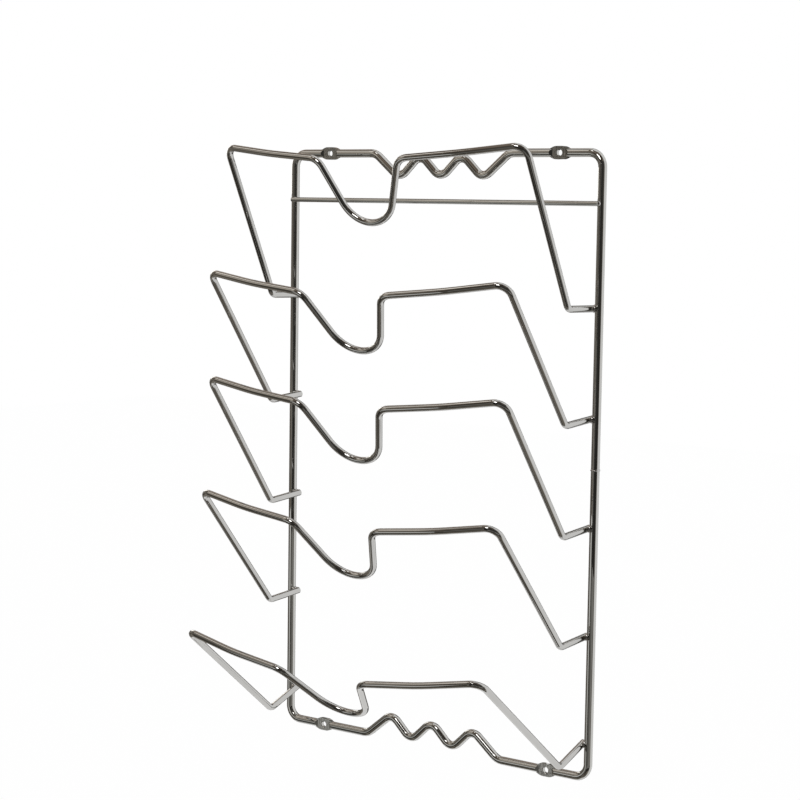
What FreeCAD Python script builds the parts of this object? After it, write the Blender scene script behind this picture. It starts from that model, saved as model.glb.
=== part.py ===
import FreeCAD, Part
import math
import os

import Sketcher

# Wall rack for pot lids, bent and welded from round wire.
#
# One closed loop of thick wire is the frame. It lies flat on the wall, with a
# wave of three lobes in the middle of its top and bottom bars and four places
# pressed flat and pierced for screws. Five lid holders stand out from it, one
# above the other. Each is a single thinner wire: a short leg welded to the
# inner side of the left upright, an arm that leans out from the wall, a top
# run with a dip for the lid's knob, and the same again on the right. A thin
# straight wire ties the uprights together below the top bar.
#
# Axes: X to the right, Y into the wall, Z up, in millimetres. The origin is
# the centre of the rectangle of screw holes, on the centre line of the frame
# wire, so the wall's face is half a wire thickness behind it.

os.makedirs("parts", exist_ok=True)
doc = FreeCAD.newDocument("lid_rack")

# Every size that can be chosen by itself, with what it measures.
SIZES = [
    ("wire_dia", 6.0, "diameter of the frame wire"),
    ("frame_width", 273.0, "between the centre lines of the uprights"),
    ("frame_height", 434.0, "between the centre lines of the top and bottom bars"),
    ("frame_corner_radius", 10.0, "centre line of the frame corners"),
    ("wave_pitch", 37.0, "from one lobe of the wave to the next"),
    ("wave_rise", 18.2, "point of a lobe, before rounding, from the bar"),
    ("wave_return", 0.7, "point between lobes, before rounding, from the bar"),
    ("wave_run", 22.5, "length along the bar of the outer flank of the wave"),
    ("wave_radius", 8.0, "centre line of the lobes"),
    ("wave_foot_radius", 12.0, "centre line where the wave leaves the bar"),
    ("eye_inset", 34.5, "screw hole from the centre line of the upright"),
    ("eye_length", 15.6, "pressed length of the wire at a screw hole"),
    ("eye_flat", 8.0, "length of the full height of the pressed eye, before rounding"),
    ("eye_height", 9.2, "height of the pressed eye"),
    ("eye_thickness", 3.2, "thickness left by the press"),
    ("eye_end_step", 0.15, "how far the ends of the eye lie inside the wire"),
    ("press_flat", 11.4, "length of the flat face left by the press"),
    ("eye_corner_radius", 8.0, "rounding of the outline of the eye"),
    ("press_margin", 3.0, "how far the press marks are drawn past the wire"),
    ("screw_hole_dia", 4.4, "screw hole"),
    ("screw_hole_edge", 0.3, "bevel at the mouth of the screw hole"),
    ("cross_dia", 3.5, "diameter of the cross wire"),
    ("cross_drop", 34.5, "cross wire below the centre line of the top bar"),
    ("cross_end_inset", 0.3, "end of the cross wire short of the line of the upright"),
    ("cross_weld_inset", 1.0, "weld of the cross wire short of that line"),
    ("weld_sink", 0.4, "how far two wires are pressed together at a weld"),
    ("holder_dia", 4.8, "diameter of the lid holder wire"),
    ("lowest_tier", 24.0, "welds of the lowest lid holder above the bottom bar"),
    ("highest_tier", 106.0, "welds of the highest lid holder below the top bar"),
    ("leg_length", 31.2, "from the upright to the bend at the foot of the arm"),
    ("leg_tail", 1.8, "end of the leg past the line of the upright"),
    ("arm_length", 120.0, "from the foot bend to the top corner"),
    ("arm_toe_in", 1.2, "how much nearer the middle the top corner is"),
    ("foot_bend_radius", 5.5, "centre line of the bend at the foot of the arm"),
    ("top_corner_radius", 9.0, "centre line of the top corner"),
    ("top_bow", 15.3, "how far the dip stands forward of the arms"),
    ("top_swell", 1.6, "outward curve of the top run from a straight line"),
    ("top_fall", 2.2, "top run's drop from the corner to the dip"),
    ("top_swell_radius", 320.0, "centre line of the curve of the top run"),
    ("dip_width", 70.0, "between the shoulders of the dip, before rounding"),
    ("dip_depth", 47.0, "from the shoulders to the bottom of the dip"),
    ("dip_forward", 3.0, "how far the bottom of the dip leans forward"),
    ("dip_radius", 23.5, "centre line of the bottom of the dip"),
    ("shoulder_radius", 11.0, "centre line of the shoulders of the dip"),
    ("holder_bead_radius", 3.0, "weld bead between a lid holder and the upright"),
    ("cross_bead_radius", 2.0, "weld bead between the cross wire and the upright"),
    ("seam_height", 1.5, "height of the ring left by the butt weld"),
    ("seam_stand", 0.45, "how far that ring stands out of the wire"),
]

# The holders were welded on by hand, so each leans in its own way: how far
# the leg falls away from the wall, and how steeply the arm rises, in degrees.
LEANS = [(-1.0, 64.0), (4.5, 54.0), (5.0, 54.0), (5.0, 49.5), (21.0, 38.5)]

for number, (fall, rise) in enumerate(LEANS, 1):
    SIZES.append(("leg_fall_%d" % number, fall, "fall of the legs of holder %d" % number))
    SIZES.append(("arm_rise_%d" % number, rise, "rise of the arms of holder %d" % number))

sheet = doc.addObject("Spreadsheet::Sheet", "Sizes")
for row, (alias, value, meaning) in enumerate(SIZES, 1):
    sheet.set("A%d" % row, alias)
    sheet.set("B%d" % row, str(value))
    sheet.setAlias("B%d" % row, alias)
    sheet.set("C%d" % row, meaning)
doc.recompute()


class Term:
    """A size or a sum of sizes: its text for the sheet, and its value."""

    def __init__(self, text, value):
        self.text = text
        self.value = value

    def __add__(self, other):
        other = term(other)
        return Term("(%s + %s)" % (self.text, other.text), self.value + other.value)

    def __sub__(self, other):
        other = term(other)
        return Term("(%s - %s)" % (self.text, other.text), self.value - other.value)

    def __mul__(self, other):
        other = term(other)
        return Term("(%s * %s)" % (self.text, other.text), self.value * other.value)

    def __truediv__(self, other):
        other = term(other)
        return Term("(%s / %s)" % (self.text, other.text), self.value / other.value)

    def __neg__(self):
        return Term("(0 - %s)" % self.text, -self.value)


def term(number):
    return number if isinstance(number, Term) else Term(str(number), float(number))


def size(alias):
    return Term("Sizes." + alias, float(sheet.get(alias)))


def place(obj, x, y, z):
    """Put an object's own origin at a point given in terms."""
    for axis, where in (("x", x), ("y", y), ("z", z)):
        obj.setExpression("Placement.Base." + axis, term(where).text)


# Lines and levels that several pieces share.
wire_r = size("wire_dia") / 2
holder_r = size("holder_dia") / 2
cross_r = size("cross_dia") / 2
upright_x = size("frame_width") / 2
bar_z = size("frame_height") / 2
eye_x = upright_x - size("eye_inset")
leg_x = upright_x - wire_r - holder_r + size("weld_sink")
cross_y = size("weld_sink") - wire_r - cross_r
cross_z = bar_z - size("cross_drop")


# The lid holders are spread evenly between the lowest and the highest.
first_z = bar_z - size("highest_tier")
last_z = size("lowest_tier") - bar_z
tier_pitch = (first_z - last_z) / (len(LEANS) - 1)


def tier_z(number):
    """Height of the welds of one lid holder, counted from the top."""
    return first_z - tier_pitch * (number - 1)


def origin_plane(body, role):
    for feature in body.Origin.OriginFeatures:
        if feature.Role == role:
            return feature


def new_sketch(body, name, role):
    sketch = body.newObject("Sketcher::SketchObject", name)
    sketch.AttachmentSupport = [(origin_plane(body, role), "")]
    sketch.MapMode = "FlatFace"
    return sketch


def bind(sketch, constraint, value):
    index = sketch.addConstraint(constraint)
    sketch.setExpression("Constraints[%d]" % index, value.text)


def bound_point(sketch, x, y):
    """Add a construction point whose two coordinates follow their terms."""
    spot = FreeCAD.Vector(x.value, y.value, 0)
    point = sketch.addGeometry(Part.Point(spot), True)
    bind(sketch, Sketcher.Constraint("DistanceX", -1, 1, point, 1, x.value), x)
    bind(sketch, Sketcher.Constraint("DistanceY", -1, 1, point, 1, y.value), y)
    return point, spot


def rounded_line(sketch, corners, closed=True):
    """Draw straight runs joined by tangent arcs, as a loop or an open line.

    Each corner is (x, y, radius) in terms; a corner with no radius is left
    sharp, as the two ends of an open line must be.
    """
    count = len(corners)
    points = [bound_point(sketch, x, y) for x, y, radius in corners]
    cuts = []
    for k, (x, y, radius) in enumerate(corners):
        here = points[k][1]
        back = (points[k - 1][1] - here).normalize()
        ahead = (points[(k + 1) % count][1] - here).normalize()
        cuts.append((0.0, back, ahead))
        if radius is not None:
            reach = radius.value / math.tan(back.getAngle(ahead) / 2)
            cuts[-1] = (reach, back, ahead)
    lines = []
    for k in range(count if closed else count - 1):
        nxt = (k + 1) % count
        start = points[k][1] + cuts[k][2] * cuts[k][0]
        end = points[nxt][1] + cuts[nxt][1] * cuts[nxt][0]
        line = sketch.addGeometry(Part.LineSegment(start, end), False)
        lines.append(line)
        for corner in (k, nxt):
            if corners[corner][2] is not None:
                sketch.addConstraint(Sketcher.Constraint("PointOnObject", points[corner][0], 1, line))
    for k, (x, y, radius) in enumerate(corners):
        if radius is None:
            if closed or k > 0:
                joined = Sketcher.Constraint("Coincident", lines[k - 1], 2, points[k][0], 1)
                sketch.addConstraint(joined)
            if closed or k < count - 1:
                joined = Sketcher.Constraint("Coincident", lines[k], 1, points[k][0], 1)
                sketch.addConstraint(joined)
            continue
        before, after = lines[k - 1], lines[k]
        reach, back, ahead = cuts[k]
        half = back.getAngle(ahead) / 2
        inward = (back + ahead).normalize()
        centre = points[k][1] + inward * (radius.value / math.sin(half))
        first = points[k][1] + back * reach - centre
        second = points[k][1] + ahead * reach - centre
        left_turn = back.cross(ahead).z < 0
        begin, finish = (first, second) if left_turn else (second, first)
        circle = Part.Circle(centre, FreeCAD.Vector(0, 0, 1), radius.value)
        angles = [math.atan2(v.y, v.x) for v in (begin, finish)]
        arc = sketch.addGeometry(Part.ArcOfCircle(circle, angles[0], angles[1]), False)
        near_before, near_after = (1, 2) if left_turn else (2, 1)
        sketch.addConstraint(Sketcher.Constraint("Tangent", before, 2, arc, near_before))
        sketch.addConstraint(Sketcher.Constraint("Tangent", after, 1, arc, near_after))
        bind(sketch, Sketcher.Constraint("Radius", arc, radius.value), radius)


def sharp_loop(sketch, corners):
    rounded_line(sketch, [(x, y, None) for x, y in corners])


def bound_circle(sketch, x, y, radius):
    middle = FreeCAD.Vector(x.value, y.value, 0)
    normal = FreeCAD.Vector(0, 0, 1)
    circle = sketch.addGeometry(Part.Circle(middle, normal, radius.value), False)
    bind(sketch, Sketcher.Constraint("DistanceX", -1, 1, circle, 3, x.value), x)
    bind(sketch, Sketcher.Constraint("DistanceY", -1, 1, circle, 3, y.value), y)
    bind(sketch, Sketcher.Constraint("Radius", circle, radius.value), radius)


# The frame: its centre line is a loop from the butt weld half way up the
# right upright, over the top bar to the middle of the left upright, and back
# through the bottom bar.
def wave(side):
    """Corners of the wave, right to left, on the top (1) or bottom (-1) bar."""
    pitch = size("wave_pitch")
    lobe = (bar_z - size("wave_rise")) * side
    between = (bar_z - size("wave_return")) * side
    foot_x = pitch + size("wave_run")
    foot = (bar_z * side, size("wave_foot_radius"))
    bend = size("wave_radius")
    half = pitch / 2
    zero = term(0)
    return [
        (foot_x, foot[0], foot[1]),
        (pitch, lobe, bend),
        (half, between, bend),
        (zero, lobe, bend),
        (-half, between, bend),
        (-pitch, lobe, bend),
        (-foot_x, foot[0], foot[1]),
    ]


corner_r = size("frame_corner_radius")
frame = doc.addObject("PartDesign::Body", "frame_wire")

for name, side in (("upper", 1), ("lower", -1)):
    half_line = [(upright_x, term(0), None), (upright_x, bar_z * side, corner_r)]
    half_line += wave(side)
    half_line += [(-upright_x, bar_z * side, corner_r), (-upright_x, term(0), None)]
    centre_line = new_sketch(frame, name + "_line", "XZ_Plane")
    rounded_line(centre_line, half_line, closed=False)
    section = new_sketch(frame, name + "_section", "XY_Plane")
    bound_circle(section, upright_x, term(0), wire_r)
    doc.recompute()
    edges = ["Edge%d" % (k + 1) for k in range(len(centre_line.Shape.Edges))]
    pipe = frame.newObject("PartDesign::AdditivePipe", name + "_pipe")
    pipe.Profile = (section, [""])
    pipe.Spine = (centre_line, edges)
doc.recompute()

# The press squeezes the wire from front and back at each screw hole, and
# leaves a slope at both ends of the flat.
SIDES = (1, -1)
press = new_sketch(frame, "press_marks", "XY_Plane")
half_gap = size("eye_thickness") / 2
clear_of_wire = wire_r + size("press_margin")
flat_half = size("press_flat") / 2
ramp_half = size("eye_length") / 2
ramp_top = flat_half + (ramp_half - flat_half) * (clear_of_wire - half_gap) / (wire_r - half_gap)
for across in SIDES:
    for face in SIDES:
        sharp_loop(press, [
            (eye_x * across - flat_half, half_gap * face),
            (eye_x * across + flat_half, half_gap * face),
            (eye_x * across + ramp_top, clear_of_wire * face),
            (eye_x * across - ramp_top, clear_of_wire * face),
        ])
press_cut = frame.newObject("PartDesign::Pocket", "press_cut")
press_cut.Profile = press
press_cut.Type = "ThroughAll"
press_cut.Midplane = True

# The squeezed metal spreads up and down into a flat eye.
eye_outline = new_sketch(frame, "eye_outline", "XZ_Plane")
eye_half = size("eye_height") / 2
crown_half = size("eye_flat") / 2
end_half = wire_r - size("eye_end_step")
for across in SIDES:
    for level in SIDES:
        eye_z = bar_z * level
        middle = eye_x * across
        soft = size("eye_corner_radius")
        rounded_line(eye_outline, [
            (middle + ramp_half, eye_z - end_half, None),
            (middle + ramp_half, eye_z + end_half, None),
            (middle + crown_half, eye_z + eye_half, soft),
            (middle - crown_half, eye_z + eye_half, soft),
            (middle - ramp_half, eye_z + end_half, None),
            (middle - ramp_half, eye_z - end_half, None),
            (middle - crown_half, eye_z - eye_half, soft),
            (middle + crown_half, eye_z - eye_half, soft),
        ])
eyes = frame.newObject("PartDesign::Pad", "eyes")
eyes.Profile = eye_outline
eyes.Midplane = True
eyes.setExpression("Length", "Sizes.eye_thickness")

screw_holes = new_sketch(frame, "screw_holes", "XZ_Plane")
for across in SIDES:
    for level in SIDES:
        bound_circle(screw_holes, eye_x * across, bar_z * level, size("screw_hole_dia") / 2)
hole_cut = frame.newObject("PartDesign::Pocket", "hole_cut")
hole_cut.Profile = screw_holes
hole_cut.Type = "ThroughAll"
hole_cut.Midplane = True
doc.recompute()

hole_r = size("screw_hole_dia") / 2
mouths = []
for k, edge in enumerate(frame.Shape.Edges, 1):
    curve = edge.Curve
    if curve.TypeId == "Part::GeomCircle" and abs(curve.Radius - hole_r.value) < 1e-6:
        mouths.append("Edge%d" % k)
hole_bevel = frame.newObject("PartDesign::Chamfer", "hole_bevel")
hole_bevel.Base = (hole_cut, mouths)
hole_bevel.setExpression("Size", "Sizes.screw_hole_edge")
doc.recompute()


def cylinder(name, radius, length, x, y, z):
    """A plain cylinder along Z."""
    obj = doc.addObject("Part::Cylinder", name)
    obj.setExpression("Radius", radius.text)
    obj.setExpression("Height", length.text)
    place(obj, x, y, z)
    return obj


def cut(name, base, tool):
    obj = doc.addObject("Part::Cut", name)
    obj.Base = base
    obj.Tool = tool
    return obj


# The two uprights as plain cylinders, for the seats pressed into the wires
# that are welded to them. On the left every round solid is turned half a
# turn, so that its seam lies away from the welds, as on the right.
HALF_TURN = FreeCAD.Rotation(FreeCAD.Vector(0, 0, 1), 180)
upright_length = size("frame_height") - corner_r * 2
uprights = {}
for side, across in (("right", 1), ("left", -1)):
    uprights[side] = cylinder("upright_" + side, wire_r, upright_length,
                              upright_x * across, 0, corner_r - bar_z)
uprights["left"].Placement.Rotation = HALF_TURN
both_uprights = doc.addObject("Part::Compound", "both_uprights")
both_uprights.Links = [uprights["right"], uprights["left"]]


def bent_wire_line(points, radii):
    """A line of straight runs joined by tangent arcs, in space."""
    edges = []
    start = points[0]
    for k in range(1, len(points) - 1):
        here = points[k]
        back = (points[k - 1] - here).normalize()
        ahead = (points[k + 1] - here).normalize()
        half = back.getAngle(ahead) / 2
        reach = radii[k] / math.tan(half)
        first = here + back * reach
        last = here + ahead * reach
        inward = (back + ahead).normalize()
        middle = here + inward * (radii[k] / math.sin(half) - radii[k])
        edges.append(Part.LineSegment(start, first).toShape())
        edges.append(Part.Arc(first, middle, last).toShape())
        start = last
    edges.append(Part.LineSegment(start, points[-1]).toShape())
    return Part.Wire(edges)


def holder_line(fall, rise):
    """Centre line of a lid holder, with Y and Z measured from its welds."""
    fall = math.radians(fall)
    rise = math.radians(rise)
    outward = FreeCAD.Vector(0, -math.cos(fall), -math.sin(fall))
    upward = FreeCAD.Vector(0, -math.cos(rise), math.sin(rise))
    forward = FreeCAD.Vector(0, -math.sin(rise), -math.cos(rise))
    across = FreeCAD.Vector(1, 0, 0)
    leg = across * leg_x.value
    tail = leg - outward * size("leg_tail").value
    foot = leg + outward * size("leg_length").value
    low = outward * size("leg_length").value

    def spot(x, up, out):
        return low + across * x + upward * up + forward * out

    arm = size("arm_length").value
    fall_off = size("top_fall").value
    bow = size("top_bow").value
    corner_x = (leg_x - size("arm_toe_in")).value
    shoulder_x = (size("dip_width") / 2).value
    corner = spot(corner_x, arm, 0)
    swell = spot((corner_x + shoulder_x) / 2, arm - fall_off / 2,
                 bow / 2 + size("top_swell").value)
    shoulder = spot(shoulder_x, arm - fall_off, bow)
    # The flanks of the dip run from the shoulders and touch the round bottom;
    # drawn on, they would meet in a point below it.
    radius = size("dip_radius").value
    depth = size("dip_depth").value
    to_centre = math.hypot(shoulder_x, depth - radius)
    steep = math.atan2(depth - radius, shoulder_x) + math.asin(radius / to_centre)
    point_depth = shoulder_x * math.tan(steep)
    lean = size("dip_forward").value * point_depth / depth
    point = spot(0, arm - fall_off - point_depth, bow + lean)

    right = [tail, foot, corner, swell, shoulder]
    bends = [0, size("foot_bend_radius").value, size("top_corner_radius").value,
             size("top_swell_radius").value, size("shoulder_radius").value]
    left = [FreeCAD.Vector(-p.x, p.y, p.z) for p in reversed(right)]
    return bent_wire_line(right + [point] + left, bends + [radius] + bends[::-1])


wires = {}
for number in range(1, len(LEANS) + 1):
    fall = size("leg_fall_%d" % number)
    weld_z = tier_z(number)
    line = doc.addObject("Part::Feature", "holder_line_%d" % number)
    line.Shape = holder_line(fall.value, size("arm_rise_%d" % number).value)
    place(line, 0, 0, weld_z)

    section = doc.addObject("Part::Circle", "holder_section_%d" % number)
    section.setExpression("Radius", holder_r.text)
    tail_y = "Sizes.leg_tail * cos(%s * 1deg)" % fall.text
    tail_z = "Sizes.leg_tail * sin(%s * 1deg)" % fall.text
    section.Placement.Rotation = FreeCAD.Rotation(FreeCAD.Vector(1, 0, 0), 90 + fall.value)
    section.setExpression("Placement.Base.x", leg_x.text)
    section.setExpression("Placement.Base.y", tail_y)
    section.setExpression("Placement.Base.z", "%s + %s" % (weld_z.text, tail_z))

    sweep = doc.addObject("Part::Sweep", "holder_sweep_%d" % number)
    sweep.Sections = [section]
    sweep.Spine = (line, ["Edge%d" % (k + 1) for k in range(len(line.Shape.Edges))])
    sweep.Solid = True
    sweep.Frenet = False
    sweep.Transition = "Transformed"
    wires["lid_holder_%d" % number] = cut("lid_holder_%d" % number, sweep, both_uprights)

# The cross wire lies on the front of the uprights.
cross_half = upright_x - size("cross_end_inset")
cross_bar = cylinder("cross_bar", cross_r, cross_half * 2, -cross_half, cross_y, cross_z)
cross_bar.Placement.Rotation = FreeCAD.Rotation(FreeCAD.Vector(0, 1, 0), 90)
wires["cross_wire"] = cut("cross_wire", cross_bar, both_uprights)


# A weld bead fills the corner all round the place where two wires meet.
def bead(name, side, x, y, z, radius, wire):
    blob = doc.addObject("Part::Sphere", name + "_blob")
    blob.setExpression("Radius", radius.text)
    if side == "left":
        blob.Placement.Rotation = HALF_TURN
    place(blob, x, y, z)
    return cut(name, cut(name + "_on_upright", blob, uprights[side]), wire)


nodes = [frame] + list(wires.values())
contact_x = upright_x - wire_r
contact_y = -wire_r
cross_weld_x = upright_x - size("cross_weld_inset")
for side, across in (("left", -1), ("right", 1)):
    for number in range(1, len(LEANS) + 1):
        nodes.append(bead("weld_holder_%d_%s" % (number, side), side, contact_x * across,
                          0, tier_z(number), size("holder_bead_radius"),
                          wires["lid_holder_%d" % number]))
    nodes.append(bead("weld_cross_%s" % side, side, cross_weld_x * across, contact_y, cross_z,
                      size("cross_bead_radius"), wires["cross_wire"]))

# The butt weld that closes the frame loop leaves a thin ring on the wire.
seam_half = size("seam_height") / 2
seam_torus = doc.addObject("Part::Torus", "seam_torus")
seam_torus.setExpression("Radius1", (wire_r + size("seam_stand") - seam_half).text)
seam_torus.setExpression("Radius2", seam_half.text)
place(seam_torus, upright_x, 0, 0)
nodes.append(cut("weld_frame_seam", seam_torus, uprights["right"]))

doc.recompute()

for obj in doc.Objects:
    if "Invalid" in obj.State or "Error" in obj.State:
        raise RuntimeError("%s failed: %s" % (obj.Name, obj.State))
for node in nodes:
    if node.Shape.isNull() or not node.Shape.isValid():
        raise RuntimeError("%s has no valid shape" % node.Name)
for node in nodes:
    node.Label = node.Name
    node.Shape.exportStep("parts/%s.step" % node.Name)
    print("%-24s solids %d  faces %3d  volume %10.2f" % (
        node.Name, len(node.Shape.Solids), len(node.Shape.Faces), node.Shape.Volume))
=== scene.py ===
import math

import bpy
from mathutils import Matrix, Vector

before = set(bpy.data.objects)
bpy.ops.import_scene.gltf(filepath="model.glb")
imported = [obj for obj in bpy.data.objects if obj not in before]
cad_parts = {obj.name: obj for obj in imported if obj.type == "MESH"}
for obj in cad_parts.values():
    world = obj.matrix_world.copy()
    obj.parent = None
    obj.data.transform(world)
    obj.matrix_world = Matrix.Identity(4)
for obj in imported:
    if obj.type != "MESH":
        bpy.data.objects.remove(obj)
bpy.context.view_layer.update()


# Helpers for shader nodes. An input or a value is a number, a colour or
# another node's output.

def fill(tree, node, inputs):
    """Set the named inputs of a node, or link them to the outputs given."""
    for name, value in inputs.items():
        if isinstance(value, bpy.types.NodeSocket):
            tree.links.new(value, node.inputs[name])
        else:
            node.inputs[name].default_value = value


def add_node(tree, kind, inputs):
    """Add a node, fill its inputs and return its outputs."""
    node = tree.nodes.new(kind)
    fill(tree, node, inputs)
    return node.outputs


def calculate(tree, operation, *values):
    """The result of one operation on the values."""
    node = tree.nodes.new("ShaderNodeMath")
    node.operation = operation
    fill(tree, node, dict(enumerate(values)))
    return node.outputs[0]


def size_along_y(tree, vector):
    """The Y part of a vector, without its sign."""
    return calculate(tree, "ABSOLUTE", add_node(tree, "ShaderNodeSeparateXYZ", {0: vector})["Y"])


def noise(tree, place, scale, detail):
    """A cloudy pattern between 0 and 1."""
    inputs = {"Vector": place, "Scale": scale, "Detail": detail}
    return add_node(tree, "ShaderNodeTexNoise", inputs)["Fac"]


def colour_ramp(tree, value, positions, colours):
    """Go from one colour to the other while the value goes between the positions."""
    node = tree.nodes.new("ShaderNodeValToRGB")
    fill(tree, node, {"Fac": value})
    for element, position, colour in zip(node.color_ramp.elements, positions, colours):
        element.position = position
        element.color = tuple(colour) + (1.0,)
    return node.outputs["Color"]


def bump(tree, strength, depth, height, normal=None):
    """The normal of a surface whose height changes, over another normal if given."""
    inputs = {"Strength": strength, "Distance": depth, "Height": height}
    if normal is not None:
        inputs["Normal"] = normal
    return add_node(tree, "ShaderNodeBump", inputs)["Normal"]


def node_material(name):
    material = bpy.data.materials.new(name)
    material.use_nodes = True
    return material


# Bright chrome plating: a mirror with faint cloudy haze, a slow ripple from
# the drawn wire below it, and a few fine pits. Scales count repeats in a
# metre, and depths are in metres.
CLOUD_SCALE = 45.0
CLOUD_DETAIL = 4.0
CLOUD_EDGES = (0.3, 0.7)
CLOUD_SHADE = 0.93
HAZE_LEAST = 0.6
HAZE_MOST = 1.5
RIPPLE_SCALE = 260.0
RIPPLE_DETAIL = 2.0
RIPPLE_DEPTH = 0.0002
PIT_RADIUS_IN_CELLS = 0.08
PIT_STRENGTH = 0.06
PIT_DEPTH = 0.00003


def cloudy_tint(tree, cloud, tint):
    """The tint, a little darker in patches."""
    shaded = tuple(CLOUD_SHADE * part for part in tint)
    return colour_ramp(tree, cloud, CLOUD_EDGES, (shaded, tint))


def cloudy_roughness(tree, cloud, haze):
    """The haze times its least and its most, in the same patches."""
    inputs = {"Value": cloud, "To Min": haze * HAZE_LEAST, "To Max": haze * HAZE_MOST}
    return add_node(tree, "ShaderNodeMapRange", inputs)["Result"]


def rippled(tree, place, ripple):
    """The normal, with the slow ripple of the wire."""
    slow = noise(tree, place, RIPPLE_SCALE, RIPPLE_DETAIL)
    return bump(tree, ripple, RIPPLE_DEPTH, slow)


def pitted(tree, place, pit_scale, normal):
    """The normal, with a shallow pit in the middle of each cell."""
    cells = add_node(tree, "ShaderNodeTexVoronoi", {"Vector": place, "Scale": pit_scale})
    inputs = {"Value": cells["Distance"], "From Max": PIT_RADIUS_IN_CELLS}
    pit = add_node(tree, "ShaderNodeMapRange", inputs)["Result"]
    return bump(tree, PIT_STRENGTH, PIT_DEPTH, pit, normal)


def chrome(name, tint, haze, ripple, pit_scale, pressed=False):
    """The plating of one kind of piece, with press marks where it is pressed flat."""
    material = node_material(name)
    tree = material.node_tree
    coordinates = tree.nodes.new("ShaderNodeTexCoord").outputs
    place = coordinates["Object"]
    cloud = noise(tree, place, CLOUD_SCALE, CLOUD_DETAIL)
    roughness = cloudy_roughness(tree, cloud, haze)
    normal = pitted(tree, place, pit_scale, rippled(tree, place, ripple))
    if pressed:
        roughness, normal = press_marked(tree, place, coordinates["Normal"], roughness, normal)
    fill(tree, tree.nodes["Principled BSDF"], {
        "Base Color": cloudy_tint(tree, cloud, tint),
        "Metallic": 1.0,
        "Roughness": roughness,
        "Normal": normal,
    })
    return material


# The press leaves flat faces with fine upright tool marks on the screw eyes:
# they face straight forward or back and lie nearer the middle plane than the
# round wire does there.
PRESSED_DEPTH = 0.0018
PRESSED_NORMAL = 0.97
MARK_SCALE = 1500.0
MARK_DETAIL = 3.0
MARK_STRETCH = (1.0, 1.0, 0.12)
MARK_DEPTH = 0.0002
MARK_ROUGHNESS = 0.1


def press_marked(tree, place, facing, roughness, normal):
    """The roughness and the normal, with the marks added on the pressed faces."""
    flat = calculate(tree, "GREATER_THAN", size_along_y(tree, facing), PRESSED_NORMAL)
    deep = calculate(tree, "LESS_THAN", size_along_y(tree, place), PRESSED_DEPTH)
    mask = calculate(tree, "MULTIPLY", flat, deep)
    inputs = {"Vector": place, "Scale": MARK_STRETCH}
    upright = add_node(tree, "ShaderNodeMapping", inputs)["Vector"]
    marks = noise(tree, upright, MARK_SCALE, MARK_DETAIL)
    roughness = calculate(tree, "MULTIPLY_ADD", mask, MARK_ROUGHNESS, roughness)
    return roughness, bump(tree, mask, MARK_DEPTH, marks, normal)


# The plating of each kind of piece, by the start of the pieces' names. Each
# has a name, a tint, a haze, the strength of its ripple and its pits' scale.
MATERIALS = {
    "frame_wire": chrome("frame_plating", (0.53, 0.525, 0.505), 0.012, 0.02, 500.0, pressed=True),
    "lid_holder": chrome("holder_plating", (0.53, 0.525, 0.51), 0.01, 0.02, 600.0),
    "cross_wire": chrome("cross_plating", (0.53, 0.53, 0.51), 0.012, 0.02, 700.0),
    "weld": chrome("weld_plating", (0.52, 0.51, 0.5), 0.04, 0.5, 900.0),
}
for name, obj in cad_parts.items():
    for start, material in MATERIALS.items():
        if name.startswith(start):
            obj.data.materials.clear()
            obj.data.materials.append(material)


# The world, and a pale floor far below the rack. Both look white to the camera
# and in reflections. Other rays meet a dimmer world and a plain matt floor.
WHITE = (1.0, 1.0, 1.0, 1.0)
SOFT_LIGHT = 0.5
FLOOR_Z = -1.5
FLOOR_REACH = 12.0
FLOOR_CORNERS = ((-1, -1), (1, -1), (1, 1), (-1, 1))
FLOOR_COLOUR = (0.9, 0.9, 0.9, 1.0)
FLOOR_ROUGHNESS = 0.9
FLOOR_WHITENESS = 0.99


def white_to_camera(tree, soft, plain):
    """Show the plain look to camera, glossy and glass rays, and the soft one to others."""
    rays = tree.nodes.new("ShaderNodeLightPath").outputs
    seen = calculate(tree, "MAXIMUM", rays["Is Camera Ray"], rays["Is Glossy Ray"])
    seen = calculate(tree, "MAXIMUM", seen, rays["Is Transmission Ray"])
    return add_node(tree, "ShaderNodeMixShader", {0: seen, 1: soft, 2: plain})[0]


def set_world():
    """A dim white world that looks plain white."""
    world = bpy.data.worlds.new("studio")
    bpy.context.scene.world = world
    world.use_nodes = True
    tree = world.node_tree
    soft = tree.nodes["Background"]
    fill(tree, soft, {"Color": WHITE, "Strength": SOFT_LIGHT})
    plain = add_node(tree, "ShaderNodeBackground", {"Color": WHITE, "Strength": 1.0})[0]
    look = white_to_camera(tree, soft.outputs[0], plain)
    fill(tree, tree.nodes["World Output"], {"Surface": look})


def add_mesh(name, points, faces):
    mesh = bpy.data.meshes.new(name)
    mesh.from_pydata(points, [], faces)
    obj = bpy.data.objects.new(name, mesh)
    bpy.context.collection.objects.link(obj)
    return obj


def floor_material():
    """Pale and matt, but nearly all plain white where it is seen."""
    material = node_material("pale_floor")
    tree = material.node_tree
    shader = tree.nodes["Principled BSDF"]
    fill(tree, shader, {"Base Color": FLOOR_COLOUR, "Roughness": FLOOR_ROUGHNESS})
    matt = shader.outputs[0]
    white = tree.nodes.new("ShaderNodeEmission").outputs[0]
    pale = add_node(tree, "ShaderNodeMixShader", {0: FLOOR_WHITENESS, 1: matt, 2: white})[0]
    look = white_to_camera(tree, matt, pale)
    fill(tree, tree.nodes["Material Output"], {"Surface": look})
    return material


set_world()
floor_points = [(x * FLOOR_REACH, y * FLOOR_REACH, FLOOR_Z) for x, y in FLOOR_CORNERS]
floor = add_mesh("floor", floor_points, [(0, 1, 2, 3)])
floor.data.materials.append(floor_material())


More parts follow.
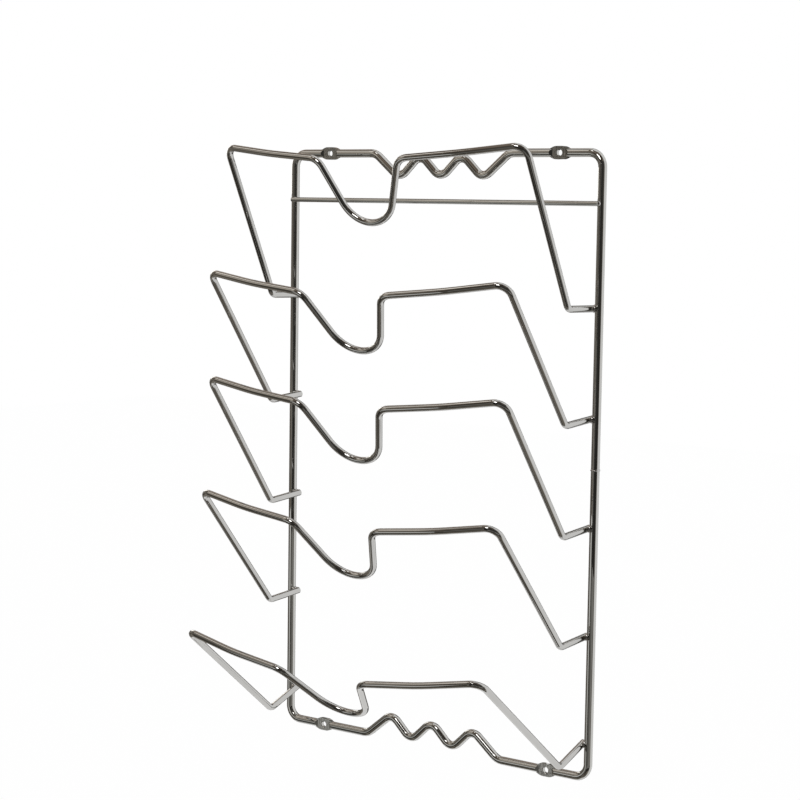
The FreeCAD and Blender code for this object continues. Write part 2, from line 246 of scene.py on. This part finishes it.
# The studio that polished wire mirrors and needs to show its shape. Each card
# is a patch of a large sphere round the rack, seen in reflections only. A row
# gives its name, the azimuths and the elevations that it lies between (in
# degrees; azimuth 0 is straight in front of the wall, positive to the right),
# its darkest and its lightest colour, and its distance in metres. A nearer
# card covers a farther one.
CARDS = (
    # The dim room in front of the wall, and what shows past the wall's left side
    ("dark_side", (-95, 89), (-80, 80), (0.065, 0.058, 0.048), (0.26, 0.235, 0.2), 1.45),
    ("warm_top", (-95, 89), (28, 80), (0.055, 0.042, 0.034), (0.26, 0.215, 0.175), 1.44),
    ("dark_back", (-150, -95), (-42, 12), (0.09, 0.08, 0.068), (0.28, 0.26, 0.23), 1.45),
    ("dark_behind", (-179, -152), (-48, 48), (0.035, 0.033, 0.03), (0.2, 0.19, 0.175), 1.45),
    ("tan_back", (-150, -96), (14, 60), (0.16, 0.125, 0.1), (0.62, 0.53, 0.46), 1.45),
    # The darkest part of the room, on the camera's side, and the greys in and beside it
    ("dark_middle", (-4, 74), (-45, 35), (0.008, 0.0075, 0.007), (0.065, 0.062, 0.056), 1.42),
    ("dim_low", (8, 70), (-32, -12), (0.14, 0.137, 0.125), (0.4, 0.39, 0.37), 1.41),
    ("line_left", (-16, -4), (-16, 0), (0.2, 0.195, 0.18), (0.6, 0.585, 0.55), 1.4),
    ("edge_right", (78, 89), (-70, 60), (0.16, 0.15, 0.13), (0.4, 0.38, 0.34), 1.42),
    # What the bars and the holders' top runs mirror: windows, bands and a strip between
    ("grey_left", (-52, -26), (-8, 12), (0.12, 0.112, 0.098), (0.34, 0.32, 0.29), 1.41),
    ("window_high", (-74, -38), (36, 57), (0.6, 0.56, 0.51), (1.7, 1.6, 1.47), 1.4),
    ("window_low", (-64, -22), (13, 25), (0.14, 0.12, 0.098), (0.8, 0.73, 0.64), 1.4),
    ("low_band", (-50, -18), (-26, -10), (0.45, 0.45, 0.43), (0.95, 0.95, 0.93), 1.4),
    ("black_strip", (-70, -16), (-42, -26), (0.008, 0.008, 0.0075), (0.06, 0.06, 0.056), 1.4),
    ("floor_band", (-94, -58), (-57, -44), (0.25, 0.25, 0.24), (0.8, 0.8, 0.78), 1.4),
    # A small bright spot far to the left
    ("glint", (-124, -106), (8, 26), (2.0, 1.95, 1.85), (3.5, 3.4, 3.2), 1.38),
)
CARD_STEPS = 24
CARD_CLOUD_SCALE = 1.6
CARD_CLOUD_DETAIL = 3.0
CARD_CLOUD_EDGES = (0.42, 0.58)


def direction(azimuth, elevation):
    """The unit vector from the rack towards an azimuth and an elevation in degrees."""
    turn = math.radians(azimuth)
    rise = math.radians(elevation)
    return Vector((math.cos(rise) * math.sin(turn), -math.cos(rise) * math.cos(turn), math.sin(rise)))


def spread(ends):
    """Even steps from one end to the other."""
    first, last = ends
    return [first + (last - first) * step / CARD_STEPS for step in range(CARD_STEPS + 1)]


def card_material(name, dark, light):
    """A glow in cloudy patches between the dark and the light colour."""
    material = node_material(name)
    tree = material.node_tree
    place = tree.nodes.new("ShaderNodeTexCoord").outputs["Object"]
    cloud = noise(tree, place, CARD_CLOUD_SCALE, CARD_CLOUD_DETAIL)
    colour = colour_ramp(tree, cloud, CARD_CLOUD_EDGES, (dark, light))
    glow = add_node(tree, "ShaderNodeEmission", {"Color": colour})[0]
    fill(tree, tree.nodes["Material Output"], {"Surface": glow})
    return material


def add_card(name, azimuths, elevations, dark, light, distance):
    points = [direction(azimuth, elevation) * distance
              for azimuth in spread(azimuths) for elevation in spread(elevations)]
    row = CARD_STEPS + 1
    starts = [row * i + j for i in range(CARD_STEPS) for j in range(CARD_STEPS)]
    obj = add_mesh(name, points, [(k, k + 1, k + row + 1, k + row) for k in starts])
    obj.data.materials.append(card_material(name, dark, light))
    obj.visible_camera = False
    obj.visible_diffuse = False
    obj.visible_shadow = False
    obj.visible_transmission = False


for card in CARDS:
    add_card(*card)


# The photograph's camera, solved from the straight wires, the frame's corners,
# the screw holes and the welds: its place in metres and its angles in degrees.
CAMERA_PLACE = (0.9144, -1.2331, 0.1802)
CAMERA_AZIMUTH = 37.55
CAMERA_ELEVATION = 6.12
CAMERA_ROLL = 0.848
CAMERA_LENS = 95.625
CAMERA_SENSOR = 36.0
CAMERA_SHIFT_UP = 0.04


def add_camera():
    """A camera that looks at the rack as the photograph's did."""
    data = bpy.data.cameras.new("camera")
    data.lens = CAMERA_LENS
    data.sensor_width = CAMERA_SENSOR
    data.shift_y = CAMERA_SHIFT_UP
    camera = bpy.data.objects.new("camera", data)
    bpy.context.collection.objects.link(camera)
    back = direction(CAMERA_AZIMUTH, CAMERA_ELEVATION)
    level = direction(CAMERA_AZIMUTH + 90, 0)
    above = back.cross(level)
    roll = math.radians(CAMERA_ROLL)
    right = math.cos(roll) * level + math.sin(roll) * above
    up = math.cos(roll) * above - math.sin(roll) * level
    turn = Matrix((right, up, back)).transposed()
    camera.matrix_world = Matrix.Translation(CAMERA_PLACE) @ turn.to_4x4()
    bpy.context.scene.camera = camera


add_camera()
bpy.context.scene.view_settings.view_transform = "Standard"

# The lamps stand nearer than the cards, which would hide them in reflections.
LAMP_DISTANCE = 1.3


def area_light(name, azimuth, elevation, size, power):
    """A round lamp that faces the rack, with its size in metres and its power in watts."""
    data = bpy.data.lights.new(name, "AREA")
    data.shape = "DISK"
    data.size = size
    data.energy = power
    obj = bpy.data.objects.new(name, data)
    bpy.context.collection.objects.link(obj)
    outward = direction(azimuth, elevation)
    turn = outward.to_track_quat("Z", "Y").to_matrix().to_4x4()
    obj.matrix_world = Matrix.Translation(outward * LAMP_DISTANCE) @ turn


area_light("key", 8, 37, 0.4, 2.2)
area_light("fill", -25, 62, 0.2, 0.3)
